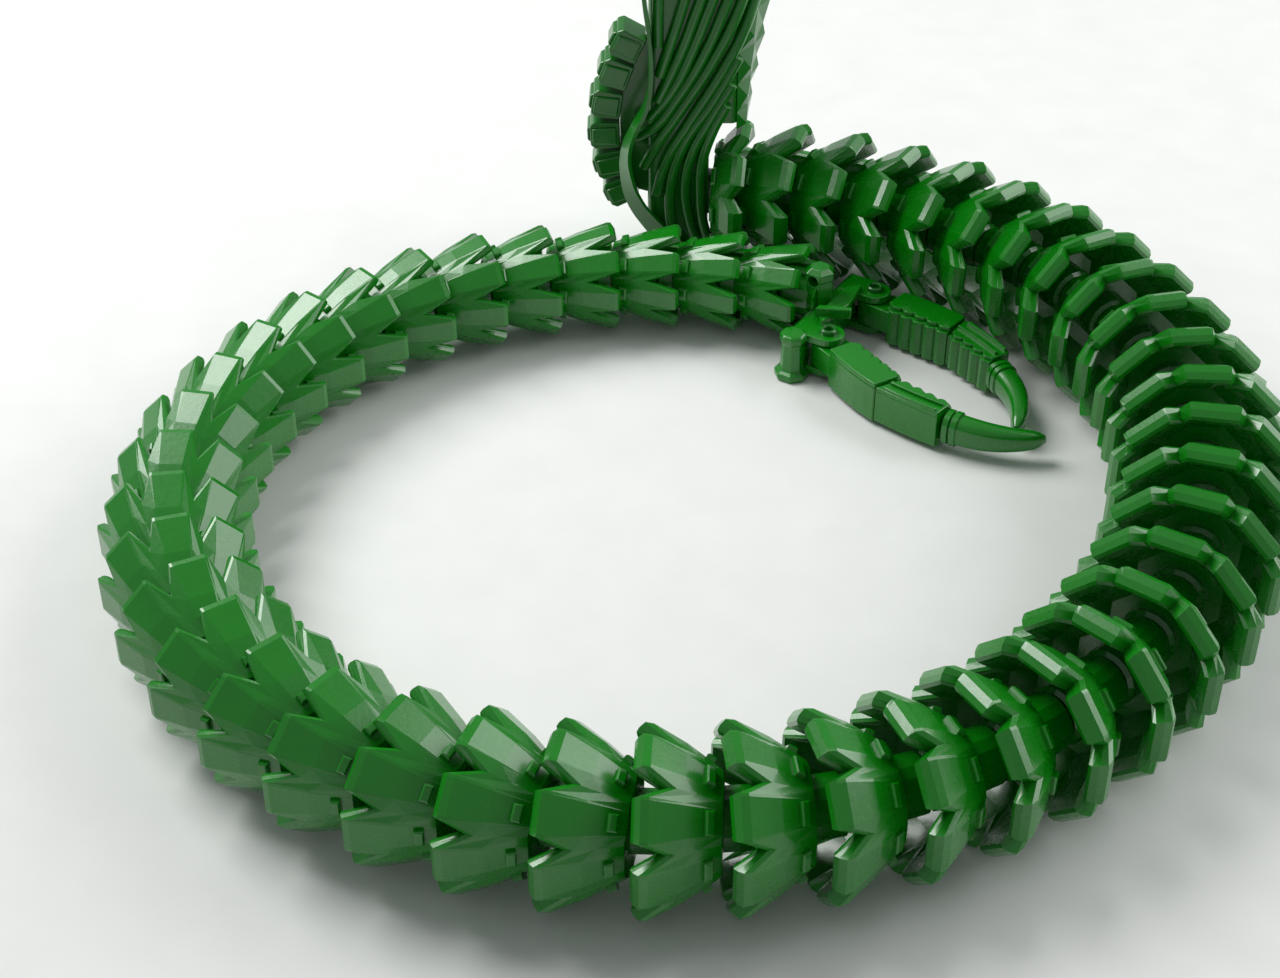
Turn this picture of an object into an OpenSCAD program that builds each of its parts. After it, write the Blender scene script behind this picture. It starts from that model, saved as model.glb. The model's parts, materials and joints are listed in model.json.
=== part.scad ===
// Twisty snake puzzle: a long tapered chain of petal rings that swivel on each other,
// lying in one flat coil. A twisted-strand neck rises at one end and a two-jaw claw
// closes the other. Millimetres, Z up, floor at Z = 0, origin at the middle of the coil.

/* [Chain path] */
// Distance between ring centres at the neck end
pitch_neck = 15.4; // [15.2:0.1:15.6]
// Distance between ring centres at the claw end
pitch_claw = 17; // [16.6:0.1:17.4]
// Bend of a link at the neck, in plan, degrees
bend_neck = 7.9; // [7.7:0.1:8.1]
// Bend of a link on the right of the coil
bend_right = 7.2; // [7:0.1:7.4]
// Bend of a link on the left of the coil
bend_left = 9.6; // [9.3:0.1:9.8]
// Bend of a link at the claw
bend_claw = 8.4; // [8.2:0.1:8.8]
// Middle of the neck ring, X
start_x = 13.6; // [12:0.1:15]
// Middle of the neck ring, Y
start_y = 119; // [117:0.5:121]
// Direction of the chain at the neck ring, degrees
start_turn = -8; // [-10:0.5:-6]

/* [Petal rings] */
// Ring radius at the neck
ring_r_neck = 20.5; // [17:0.5:21]
// Ring radius of the widest rings
ring_r_disc = 21.5; // [18:0.5:21.5]
// Ring radius on the near side of the coil
ring_r_front = 19.2; // [16:0.5:21]
// Ring radius on the left of the coil
ring_r_left = 17; // [15:0.5:19]
// Ring radius where the tail slims
ring_r_tail = 14.8; // [13.5:0.1:16]
// Ring radius at the claw
ring_r_claw = 12.5; // [12:0.1:14]
// Radius of the ring's root collar at the neck
root_r_neck = 10.5; // [9:0.1:11]
// Radius of the root collar at the claw
root_r_claw = 7.6; // [7.4:0.1:8]
// Depth of a ring along the chain at the neck, root to tip
depth_neck = 15; // [11:0.5:15.5]
// Depth of the widest rings
depth_disc = 10.5; // [8:0.5:12]
// Depth on the near side
depth_front = 15.5; // [11:0.5:16]
// Depth on the left side
depth_left = 17; // [12:0.5:17.5]
// Depth at the tail
depth_tail = 18; // [14:0.5:18.5]
// Depth of the cuff ring fixed to the neck
cuff_depth = 8; // [8:0.1:8.4]
// How far the petal tips overhang the next link
tip_reach = 6; // [5:0.1:6.5]
// Petal thickness
petal_t = 2.3; // [1.8:0.1:2.6]
// Height of the crown across a petal's middle
petal_crown = 1.1; // [0.4:0.1:1.4]
// How far neighbouring petals run into each other
petal_lap = 0.3; // [0.2:0.1:0.6]
// Height of the small lug at each petal's root
lug_h = 0.8; // [0.4:0.1:1]

/* [Swivel joints] */
// Radius of the octagonal hub across its corners
hub_r = 6.6; // [6.4:0.1:7.2]
// Spigot radius
spigot_r = 3.4; // [2.8:0.1:3.8]
// Spigot length past the hub
spigot_len = 6; // [5:0.1:6.5]
// Depth of the snap groove
groove_d = 0.8; // [0.6:0.1:1]
// Running clearance of the spigot, on the radius
run_gap = 0.05; // [0.03:0.01:0.1]
// Free clearance between hubs and round the snap lip
free_gap = 0.3; // [0.3:0.05:0.4]

/* [Neck] */
// Height of the neck
neck_h = 100; // [90:1:130]
// Width of the neck core
neck_w = 24; // [22:1:25]
// Depth of the neck core
neck_d = 14; // [14:1:16]
// Distance from the first joint back to the neck's axis
neck_back = 8; // [7.5:0.5:9]
// Strand radius
strand_r = 1.05; // [0.85:0.05:1.05]
// Top flange radius
flange_r = 17; // [16:0.5:20]
// Top flange thickness
flange_t = 5; // [4:0.5:7]
// Radius of the post socket in the top
post_r = 4; // [3:0.1:5]
// Depth of the post socket
post_depth = 16; // [8:1:24]
// Bolt circle diameter of the top flange
bolt_circle = 25; // [24:0.5:27]
// Bolt hole radius
bolt_hole_r = 1.6; // [1.2:0.1:2]
// Width of a spine block along the neck
spine_h = 8; // [6:0.5:8.5]

/* [Claw] */
// Turn of the palm from the wrist joint, degrees
palm_turn = -13; // [-15:0.5:-10]
// Distance from the wrist joint to the line of the jaw pins
palm_reach = 20.5; // [19:0.5:22]
// Half the distance between the jaw pins
pin_half = 12.6; // [12.4:0.1:13.2]
// Jaw pin outer radius
pin_r = 2.1; // [1.8:0.1:2.3]
// Jaw pin bore radius
pin_bore = 1.2; // [0.8:0.1:1.4]
// Radius of the jaw's root knuckle
knuckle_r = 4.2; // [3.8:0.1:4.4]
// Lowest point of the jaws
jaw_z = 1.2; // [1:0.1:2]
// Height of a jaw shell
jaw_h = 11; // [10:0.1:11.5]
// Width of a jaw shell
jaw_w = 8.4; // [7:0.1:8.6]
// Length of the root shell
jaw_root_len = 25.5; // [22:0.5:26]
// Length of the middle shell
jaw_mid_len = 17; // [14:0.5:17]
// Length of the fang round its curve
fang_len = 21; // [16:0.5:21]
// Turn from the root shell to the middle shell, degrees
jaw_turn = 18; // [10:0.5:20]
// Turn from the middle shell to the fang's collar, degrees
collar_turn = 10; // [6:0.5:12]
// Turn of the fang, degrees
fang_turn = 44; // [36:1:48]
// Direction of the near jaw from straight ahead, degrees
near_swing = -26; // [-32:0.5:-25]
// Direction of the far jaw from straight ahead, degrees
far_swing = -7.5; // [-8:0.5:0]

/* [Hidden] */
link_n = 45;
petal_n = 8;
function link_name(k) = str("link_", k < 10 ? "0" : "", k);
green = [0.02, 0.38, 0.03];
$fn = 64;
seam = 0.01;

// Ring centres and directions, one per ring, neck ring first
function share(k) = k / link_n;
function bend(k) = lookup(k, [[0, bend_neck], [16, bend_right], [32, bend_left], [45, bend_claw]]);
function pitch(k) = pitch_neck + (pitch_claw - pitch_neck) * share(k);
turn = [for (k = 0, a = start_turn; k <= link_n; a = a - bend(k), k = k + 1) a];
function mid_turn(k) = (turn[k] + turn[k + 1]) / 2;
ring_x = [for (k = 0, x = start_x; k <= link_n;
    x = x + (k < link_n ? pitch(k) * cos(mid_turn(k)) : 0), k = k + 1) x];
ring_y = [for (k = 0, y = start_y; k <= link_n;
    y = y + (k < link_n ? pitch(k) * sin(mid_turn(k)) : 0), k = k + 1) y];

// Sizes along the chain, eased between named stations
function ring_r(k) = lookup(k, [
    [0, ring_r_neck], [12, ring_r_disc], [20, ring_r_front], [32, ring_r_left],
    [40, ring_r_tail], [45, ring_r_claw]]);
function root_r(k) = root_r_neck + (root_r_claw - root_r_neck) * share(k);
function depth(k) = lookup(k, [
    [0, cuff_depth], [1, depth_neck], [7, depth_neck], [11, depth_disc], [16, depth_disc],
    [21, depth_front], [31, depth_left], [40, depth_tail], [45, depth_tail]]);
function tip_share(k) = lookup(k, [[0, 0.5], [7, 0.55], [12, 0.72], [16, 0.7], [21, 0.5], [45, 0.46]]);
function wide_share(k) = lookup(k, [[0, 0.66], [7, 0.7], [12, 0.82], [16, 0.8], [21, 0.62], [45, 0.6]]);

// One petal, in the plane of its own plate: u runs from root to tip
function flare(k) = atan((ring_r(k) - root_r(k)) / depth(k));
function plate_len(k) = sqrt(pow(ring_r(k) - root_r(k), 2) + pow(depth(k), 2));
function plate_r(k, u) = root_r(k) + u * sin(flare(k)) - petal_t * cos(flare(k));
function half_w(k, u) = plate_r(k, u) * tan(180 / petal_n) + petal_lap;
root_bury = 1.2;
root_narrow = 0.62;
knee = 0.5;
bevel = 1;

// Frame of the swivel joint at the claw side of ring k: X along the joint axis
module at_joint(k) {
    translate([
        ring_x[k] - tip_reach * cos(turn[k]),
        ring_y[k] - tip_reach * sin(turn[k]),
        ring_r(k)])
        rotate([0, 0, turn[k]])
            children();
}

module along_x(x) {
    translate([x, 0, 0])
        rotate([0, 90, 0])
            children();
}

module oct_bar(x0, x1, r) {
    along_x(x0)
        rotate([0, 0, 22.5])
            cylinder(h = x1 - x0, r = r, $fn = 8);
}

module petal(k) {
    len = plate_len(k);
    u_knee = knee * len;
    u_wide = wide_share(k) * len;
    w_root = half_w(k, 0) * root_narrow;
    w_wide = half_w(k, u_wide);
    w_tip = w_wide * tip_share(k);
    depth_cut = 4 * petal_t;
    translate([tip_reach - depth(k), 0, root_r(k)])
        rotate([0, -flare(k), 0]) {
            intersection() {
                rotate([90, 0, 0])
                    linear_extrude(3 * w_wide, center = true)
                        polygon([
                            [-root_bury, -petal_t], [u_knee, petal_crown - petal_t],
                            [len, -petal_t], [len, -bevel], [len - bevel, 0],
                            [u_knee, petal_crown], [-root_bury, 0]]);
                translate([0, 0, -depth_cut])
                    linear_extrude(2 * depth_cut)
                        polygon([
                            [-root_bury, -w_root], [0, -w_root], [u_wide, -w_wide], [len, -w_tip],
                            [len, w_tip], [u_wide, w_wide], [0, w_root], [-root_bury, w_root]]);
            }
            translate([len * 0.2, -w_root * 0.45, -petal_t / 2])
                cube([len * 0.16, w_root * 0.9, petal_t / 2 + petal_crown * 0.6 + lug_h]);
        }
}

module petal_ring(k) {
    for (i = [0 : petal_n - 1])
        rotate([i * 360 / petal_n, 0, 0])
            petal(k);
    root_x = tip_reach - depth(k);
    oct_bar(root_x - 0.6, root_x + 1.8, root_r(k) / cos(22.5) - 0.3);
}

// Snap spigot and the socket that takes it, both about X from the joint plane
module spigot() {
    groove_x = spigot_len * 0.36;
    groove_w = 1 + 2 * free_gap;
    along_x(0)
        rotate_extrude()
            polygon([
                [0, -1], [spigot_r, -1], [spigot_r, groove_x],
                [spigot_r - groove_d, groove_x], [spigot_r - groove_d, groove_x + groove_w],
                [spigot_r, groove_x + groove_w], [spigot_r, spigot_len - 0.6],
                [spigot_r - 0.6, spigot_len], [0, spigot_len]]);
}

module socket_cut() {
    groove_x = spigot_len * 0.36;
    lip_r = spigot_r - groove_d + free_gap;
    bore_r = spigot_r + run_gap;
    along_x(0)
        rotate_extrude()
            polygon([
                [0, -1], [bore_r, -1], [bore_r, groove_x + free_gap],
                [lip_r, groove_x + free_gap], [lip_r, groove_x + free_gap + 1],
                [bore_r, groove_x + free_gap + 1], [bore_r, spigot_len + free_gap],
                [0, spigot_len + free_gap]]);
}

// One link: hub, petal ring, spigot for the next link and socket for the one before
module chain_link(k) {
    half = pitch(k) / 2 + 0.6;
    color(green)
        difference() {
            union() {
                at_joint(k) {
                    petal_ring(k);
                    oct_bar(-half, -free_gap / 2, hub_r);
                    spigot();
                }
                at_joint(k - 1)
                    oct_bar(free_gap / 2, half, hub_r);
            }
            at_joint(k - 1)
                socket_cut();
        }
}

// Neck
seat_gap = 0.15;
barrel_r = 6.2;
neck_len = neck_back + 1;

module at_neck() {
    at_joint(0)
        translate([-neck_back, 0, -ring_r(0)])
            rotate([0, 0, -start_turn])
                children();
}

module neck_outline() {
    corner_r = 2;
    square([neck_w - 2 * corner_r, neck_d], center = true);
    square([neck_w, neck_d - 2 * corner_r], center = true);
    for (x = [-1, 1], y = [-1, 1])
        translate([x * (neck_w / 2 - corner_r), y * (neck_d / 2 - corner_r)])
            circle(r = corner_r);
}

// The core is full width above the cuff and stops short of it below
cuff_clear = 1;
core_split = ring_r_neck * 2 + 3;
core_foot = 3;
core_foot_x = neck_back + tip_reach - cuff_depth - 0.6 - cuff_clear;

module neck_core() {
    bolt_n = 3;
    color(green)
        difference() {
            union() {
                at_joint(0) {
                    along_x(-neck_len)
                        cylinder(h = neck_len - free_gap / 2, r = barrel_r);
                    spigot();
                }
                at_neck() {
                    translate([0, 0, core_split])
                        linear_extrude(neck_h - flange_t - core_split)
                            neck_outline();
                    translate([0, 0, core_foot])
                        linear_extrude(core_split - core_foot)
                            intersection() {
                                neck_outline();
                                translate([-neck_w, -neck_d])
                                    square([neck_w + core_foot_x, 2 * neck_d]);
                            }
                    spine_rib();
                }
                at_neck()
                    translate([0, 0, neck_h - flange_t])
                        cylinder(h = flange_t, r = flange_r);
            }
            at_neck() {
                translate([0, 0, neck_h - post_depth])
                    cylinder(h = post_depth + 1, r = post_r);
                for (i = [0 : bolt_n - 1])
                    rotate([0, 0, i * 360 / bolt_n])
                        translate([bolt_circle / 2, 0, neck_h - flange_t - 1])
                            cylinder(h = flange_t + 2, r = bolt_hole_r);
            }
        }
}

module neck_cuff() {
    color(green)
        difference() {
            at_joint(0)
                petal_ring(0);
            at_joint(0)
                along_x(-20)
                    cylinder(h = 20, r = barrel_r + seat_gap);
        }
}

// Strands: upper end X and Z, lower end X and Z, and turn, in the sheet in front of the core
strands = [
    [-9, 94, -9, 68, 0], [-1.5, 94, -6.4, 59, 4], [6.6, 94, -3.6, 55, -6],
    [12, 94, -10.2, 41.4, -30], [17.2, 93, -15, 33, -34], [19.2, 83, -13.5, 25.6, -12],
    [18.2, 73, -9.9, 19, 8], [17, 64.5, -6.6, 14, 18], [15.2, 56, -3.7, 10.5, 26],
    [14, 47, -0.9, 10.5, 33]];

module strand(s) {
    dx = s[2] - s[0];
    dz = s[3] - s[1];
    chord = sqrt(dx * dx + dz * dz);
    aim = atan2(dz, dx);
    translate([s[0], 0, s[1]])
        rotate([0, -aim, 0])
            if (s[4] == 0)
                along_x(0) cylinder(h = chord, r = strand_r);
            else {
                bow = chord / 2 / sin(abs(s[4]) / 2);
                side = sign(s[4]);
                translate([chord / 2, 0, side * bow * cos(s[4] / 2)])
                    rotate([90, 0, 0])
                        rotate([0, 0, -side * 90 - abs(s[4]) / 2])
                            rotate_extrude(angle = abs(s[4]), $fn = 96)
                                translate([bow, 0])
                                    circle(r = strand_r, $fn = 24);
            }
}

module neck_strands() {
    color(green)
        at_neck()
            translate([0, -neck_d / 2 - strand_r - seat_gap, 0])
                for (s = strands)
                    strand(s);
}

// Spine blocks up the back of the neck: X and Z of each middle and its tilt
spine = [[-19.4, 20.8, 24], [-22.2, 29, 14], [-23.6, 37.8, 2], [-23, 46.8, -9], [-20.6, 55.5, -20],
    [-17.6, 63.5, -26]];
block_half = 4;
block_deep = 10;

module spine_block() {
    rotate([90, 0, 0])
        linear_extrude(block_deep, center = true)
            polygon([
                [-block_half, 1.2 - spine_h / 2], [1.2 - block_half, -spine_h / 2],
                [block_half, 0.6 - spine_h / 2], [block_half, spine_h / 2 - 0.6],
                [1.2 - block_half, spine_h / 2], [-block_half, spine_h / 2 - 1.2]]);
}

// Rib on the core that the spine blocks sit on
function rib_edge(b, v) = [
    b[0] + (block_half + seat_gap) * cos(b[2]) - v * sin(b[2]),
    b[1] + (block_half + seat_gap) * sin(b[2]) + v * cos(b[2])];

module spine_rib() {
    translate([0, 3, 0])
        rotate([90, 0, 0])
            linear_extrude(4, center = true)
                polygon(concat(
                    [[0, 16]],
                    [for (b = spine, v = [-2.5, 2.5]) rib_edge(b, v)],
                    [[0, 72]]));
}

module neck_spine() {
    color(green)
        at_neck()
            for (b = spine)
                translate([b[0], 3, b[1]])
                    rotate([0, -b[2], 0])
                        spine_block();
}

// Edge fin: its curve down the neck, X and Z
fin_line = [[-14.5, 94], [-13, 79], [-11.6, 68], [-11.2, 59], [-12.4, 50], [-15.4, 43.5], [-17.8, 37],
    [-17.6, 29], [-15.6, 22], [-11.8, 16], [-6.5, 10], [-1, 5.5]];
fin_t = 1.1;
fin_deep = 4.5;

module neck_fin() {
    color(green)
        at_neck()
            translate([0, -neck_d / 2 - seat_gap, 0])
                rotate([90, 0, 0])
                    linear_extrude(fin_deep)
                        polygon(concat(
                            [for (p = fin_line) [p[0] - fin_t, p[1] - fin_t / 2]],
                            [for (i = [len(fin_line) - 1 : -1 : 0]) fin_line[i]]));
}

// Scalloped web down the other edge: ridge line, X and Z, and notches between its points
web_line = [[16.4, 46], [18.4, 49], [16.6, 52], [19.6, 57], [17.6, 60], [20.6, 66], [18.8, 69], [21.4, 76],
    [19.6, 79], [22, 86], [20.4, 89], [22, 94]];
web_t = 2.4;

module neck_web() {
    web_x = neck_w / 2 + seat_gap;
    color(green)
        at_neck()
            rotate([90, 0, 0])
                linear_extrude(web_t, center = true)
                    polygon(concat([[web_x, 94], [web_x, 46]], web_line));
}

// Claw, in the frame of the wrist joint but with Z up from the floor
wrist_z = ring_r_claw;
ear_t = 2;
ear_gap = 0.3;
palm_back = palm_reach - 9;
palm_front = palm_reach - 5;
knuckle_z = jaw_z + ear_t + ear_gap;
knuckle_h = jaw_h - 2 * ear_t - 2 * ear_gap;

lug_x = 10.4;
lug_r = 3.8;

module at_claw() {
    at_joint(link_n)
        translate([0, 0, -wrist_z])
            rotate([0, 0, palm_turn])
                children();
}

module claw_wrist() {
    lug_top = wrist_z + 10;
    color(green)
        difference() {
            union() {
                at_joint(link_n)
                    oct_bar(free_gap / 2, palm_back - 3, hub_r);
                at_claw()
                    translate([0, 0, wrist_z])
                        oct_bar(palm_back - 6, palm_back, hub_r);
                at_claw()
                    translate([lug_x, 0, wrist_z])
                        cylinder(h = lug_top - wrist_z, r = lug_r, $fn = 6);
            }
            at_joint(link_n)
                socket_cut();
            at_claw()
                translate([lug_x, 0, lug_top - 3])
                    rotate([90, 0, 0])
                        cylinder(h = 12, r = 1.5, center = true);
        }
}

module ear(side, z, h) {
    translate([0, 0, z]) {
        translate([palm_reach, side * pin_half, 0])
            cylinder(h = h, r = knuckle_r);
        translate([palm_back, side * pin_half - knuckle_r, 0])
            cube([palm_reach - palm_back, 2 * knuckle_r, h]);
    }
}

module claw_palm() {
    foot_r = 3.2;
    palm_depth = palm_front - palm_back;
    plate_x = lug_x + lug_r + free_gap - palm_back;
    palm_top = jaw_z + jaw_h + 0.8;
    color(green)
        at_claw()
            difference() {
                union() {
                    translate([palm_back, -pin_half - knuckle_r, jaw_z])
                        cube([palm_front - palm_back, 2 * (pin_half + knuckle_r), jaw_h]);
                    for (side = [-1, 1]) {
                        ear(side, jaw_z, ear_t);
                        ear(side, jaw_z + jaw_h - ear_t, ear_t);
                    }
                    translate([palm_back + 2, -pin_half - knuckle_r - 1.6, 0]) {
                        cylinder(h = palm_top, r = foot_r, $fn = 8);
                        cylinder(h = 2, r = foot_r + 1.4, $fn = 8);
                    }
                    translate([palm_back, -8, jaw_z + jaw_h])
                        linear_extrude(1.6)
                            polygon([[plate_x, 0], [palm_depth + 2, -3], [palm_depth + 4, 8],
                                [palm_depth + 2, 19], [plate_x, 16]]);
                }
                for (side = [-1, 1])
                    translate([palm_reach, side * pin_half, -1])
                        cylinder(h = jaw_h + 6, r = pin_r + run_gap);
            }
}

module claw_pins() {
    color(green)
        at_claw()
            for (side = [-1, 1])
                translate([palm_reach, side * pin_half, jaw_z])
                    difference() {
                        cylinder(h = jaw_h + 1.4, r = pin_r);
                        translate([0, 0, 2])
                            cylinder(h = jaw_h, r = pin_bore);
                    }
}

// Jaws: side is -1 for the near jaw and 1 for the far jaw; X runs along the root shell
module at_jaw(side) {
    at_claw()
        translate([palm_reach, side * pin_half, 0])
            rotate([0, 0, side < 0 ? near_swing : far_swing])
                scale([1, -side, 1])
                    children();
}

module jaw_root(side) {
    color(green)
        at_jaw(side)
            difference() {
                union() {
                    translate([0, 0, knuckle_z])
                        cylinder(h = knuckle_h, r = knuckle_r);
                    translate([0, 0, knuckle_z])
                        linear_extrude(knuckle_h)
                            polygon([[0, -knuckle_r], [8, -knuckle_r], [8, knuckle_r], [0, knuckle_r]]);
                    translate([0, 0, jaw_z])
                        linear_extrude(jaw_h)
                            polygon([
                                [knuckle_r + 2, -jaw_w / 2], [jaw_root_len, -jaw_w / 2],
                                [jaw_root_len, jaw_w / 2], [16, jaw_w / 2 + 0.8], [15, jaw_w / 2],
                                [10.5, jaw_w / 2 + 0.8], [9.5, jaw_w / 2],
                                [knuckle_r + 2, jaw_w / 2 - 0.6]]);
                    for (y = [-jaw_w / 2, -0.9])
                        translate([knuckle_r + 3, y, jaw_z + jaw_h - seam])
                            cube([jaw_root_len - knuckle_r - 3.5, 1.3, 1.1]);
                }
                translate([0, 0, -1])
                    cylinder(h = 20, r = pin_r + run_gap);
            }
}

module at_mid(side) {
    at_jaw(side)
        translate([jaw_root_len, 0, 0])
            rotate([0, 0, jaw_turn])
                children();
}

module jaw_mid(side) {
    w = jaw_w - 0.8;
    lean = tan(jaw_turn) * w / 2;
    color(green)
        at_mid(side) {
            translate([0, 0, jaw_z + 0.4])
                linear_extrude(jaw_h - 1.2)
                    polygon([
                        [seat_gap - lean, -w / 2], [jaw_mid_len, -w / 2 + 0.4], [jaw_mid_len, w / 2 - 0.8],
                        [11, w / 2], [10.2, w / 2 - 0.7], [6.4, w / 2 + 0.3], [5.6, w / 2 - 0.6],
                        [seat_gap + lean, w / 2]]);
            for (y = [-w / 2, -0.6])
                translate([1.4, y, jaw_z + jaw_h - 0.8 - seam])
                    cube([jaw_mid_len - 3, 1.1, 0.9]);
        }
}

// Fang: two collar bands, then a horn that tapers as it turns inwards
module jaw_fang(side) {
    steps = 6;
    fang_w = jaw_w - 2.2;
    fang_h = jaw_h - 3.4;
    bow = fang_len / (fang_turn * PI / 180);
    fang_z = jaw_z + 1.2;
    collar_t = 1.5;
    collar_lip = 0.3;
    collar_x = (fang_w / 2 + collar_lip) * tan(collar_turn) + seat_gap;
    horn_x = collar_x + 2 * collar_t + collar_lip;
    function taper(t) = 1 - 0.72 * t * t;
    function fang_at(t, y) = [
        horn_x + (bow - y * taper(t)) * sin(fang_turn * t),
        bow - (bow - y * taper(t)) * cos(fang_turn * t)];
    color(green)
        at_mid(side)
            translate([jaw_mid_len, 0, 0])
                rotate([0, 0, collar_turn]) {
                    for (x = [collar_x, collar_x + collar_t + collar_lip])
                        translate([x, -fang_w / 2 - collar_lip, fang_z - collar_lip])
                            cube([collar_t, fang_w + 2 * collar_lip, fang_h + 2 * collar_lip]);
                    translate([collar_x, -fang_w / 2 + 0.4, fang_z + 0.4])
                        cube([horn_x - collar_x + 0.4, fang_w - 0.8, fang_h - 0.8]);
                    intersection() {
                        translate([0, 0, fang_z])
                            linear_extrude(fang_h)
                                polygon(concat(
                                    [for (i = [0 : steps]) fang_at(i / steps, -fang_w / 2)],
                                    [for (i = [steps : -1 : 0]) fang_at(i / steps, fang_w / 2)]));
                        rotate([90, 0, 0])
                            linear_extrude(80, center = true)
                                polygon([
                                    [0, fang_z], [fang_len * 0.6, fang_z + 0.4],
                                    [fang_len + 4, fang_z + fang_h * 0.35],
                                    [fang_len + 4, fang_z + fang_h * 0.62],
                                    [fang_len * 0.75, fang_z + fang_h * 0.94],
                                    [0, fang_z + fang_h]]);
                    }
                }
}

neck_core();
neck_cuff();
neck_strands();
neck_spine();
neck_fin();
neck_web();
for (k = [1 : link_n])
    chain_link(k);
claw_wrist();
claw_palm();
claw_pins();
jaw_root(-1);  // near_jaw_root
jaw_mid(-1);  // near_jaw_mid
jaw_fang(-1);  // near_jaw_fang
jaw_root(1);  // far_jaw_root
jaw_mid(1);  // far_jaw_mid
jaw_fang(1);  // far_jaw_fang
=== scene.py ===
import bpy, bmesh, json
from math import atan2, cos, hypot, pi, radians, sin, tan
from mathutils import Matrix, Vector


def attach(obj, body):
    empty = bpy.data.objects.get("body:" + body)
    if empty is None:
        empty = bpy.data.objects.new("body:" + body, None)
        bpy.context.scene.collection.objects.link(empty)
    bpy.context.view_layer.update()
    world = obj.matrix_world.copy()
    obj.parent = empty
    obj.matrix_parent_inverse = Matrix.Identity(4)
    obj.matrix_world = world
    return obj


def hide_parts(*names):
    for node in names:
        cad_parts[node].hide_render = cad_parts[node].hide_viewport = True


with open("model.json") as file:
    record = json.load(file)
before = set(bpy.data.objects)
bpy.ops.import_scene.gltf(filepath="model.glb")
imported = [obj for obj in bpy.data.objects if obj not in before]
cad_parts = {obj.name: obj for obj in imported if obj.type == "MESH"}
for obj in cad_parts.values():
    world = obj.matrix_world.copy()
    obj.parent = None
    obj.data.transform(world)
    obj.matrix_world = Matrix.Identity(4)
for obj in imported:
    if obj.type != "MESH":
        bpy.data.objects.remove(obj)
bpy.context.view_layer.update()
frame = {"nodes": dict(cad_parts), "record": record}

# Stage. A pale matt table, a large soft lamp above on the left and a second one on the right,
# and the camera, which looks down on the coil from the side away from the neck.
mm = 0.001


def srgb(text):
    # sRGB hex to linear RGBA
    parts = [int(text[i:i + 2], 16) / 255 for i in (1, 3, 5)]
    return [p / 12.92 if p <= 0.04045 else ((p + 0.055) / 1.055) ** 2.4 for p in parts] + [1.0]


def node(tree, kind, links={}, **settings):
    # one node: settings are its properties or its inputs, links feed its sockets
    n = tree.nodes.new(kind)
    for key, value in settings.items():
        if hasattr(n, key):
            setattr(n, key, value)
        else:
            n.inputs[key.replace("_", " ")].default_value = value
    for socket, source in links.items():
        tree.links.new(source, n.inputs[socket])
    return n


def fresh_material(name):
    m = bpy.data.materials.new(name)
    m.use_nodes = True
    return m, m.node_tree, m.node_tree.nodes["Principled BSDF"]


table_paint, tree, bsdf = fresh_material("matt_table_paint")
where = node(tree, "ShaderNodeTexCoord").outputs["Object"]
grain = node(tree, "ShaderNodeTexNoise", {"Vector": where}, Scale=60.0, Detail=4.0)
shade = node(tree, "ShaderNodeMix", {0: grain.outputs["Fac"]}, data_type="RGBA")
shade.inputs[6].default_value = srgb("#d9dad7")
shade.inputs[7].default_value = srgb("#e3e4e1")
tree.links.new(shade.outputs[2], bsdf.inputs["Base Color"])
bsdf.inputs["Roughness"].default_value = 0.75

table_half = 2.2
table_mesh = bpy.data.meshes.new("table")
table_corners = [(-table_half, -table_half, 0), (table_half, -table_half, 0),
                 (table_half, table_half, 0), (-table_half, table_half, 0)]
table_mesh.from_pydata(table_corners, [], [(0, 1, 2, 3)])
table = bpy.data.objects.new("table", table_mesh)
bpy.context.collection.objects.link(table)
table.data.materials.append(table_paint)


def area_lamp(name, place, aim, width, power):
    data = bpy.data.lights.new(name, "AREA")
    data.shape = "SQUARE"
    data.size = width
    data.energy = power
    lamp = bpy.data.objects.new(name, data)
    lamp.location = place
    lamp.rotation_euler = (Vector(aim) - Vector(place)).to_track_quat("-Z", "Y").to_euler()
    bpy.context.collection.objects.link(lamp)


area_lamp("key_lamp", (-0.55, 0.35, 0.75), (0, 0, 0), 0.55, 9)
area_lamp("fill_lamp", (0.8, 0.25, 0.5), (0.08, 0, 0), 0.8, 6.5)
sky = bpy.data.worlds.new("studio")
sky.use_nodes = True
sky.node_tree.nodes["Background"].inputs[0].default_value = srgb("#dfe3e6")
sky.node_tree.nodes["Background"].inputs[1].default_value = 0.42
bpy.context.scene.world = sky

lens = bpy.data.cameras.new("camera")
lens.lens = 59.84
lens.sensor_width = 36
lens.clip_start = 0.01
camera = bpy.data.objects.new("camera", lens)
bpy.context.collection.objects.link(camera)
down = radians(36.12)
reach = 0.508
camera.location = (-0.0144, 0.009 - reach * cos(down), reach * sin(down))
camera.rotation_euler = (pi / 2 - down, 0, 0)
bpy.context.scene.camera = camera
bpy.context.scene.view_settings.view_transform = "Standard"

# Petal rings and links. Each link is one gloss ABS moulding: an octagonal barrel that snaps
# on the next, and a cup of eight petals that run into each other below a thick bevelled rim.
# The cups are deep at the neck, near discs on the right, and long and slim at the tail.


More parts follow.
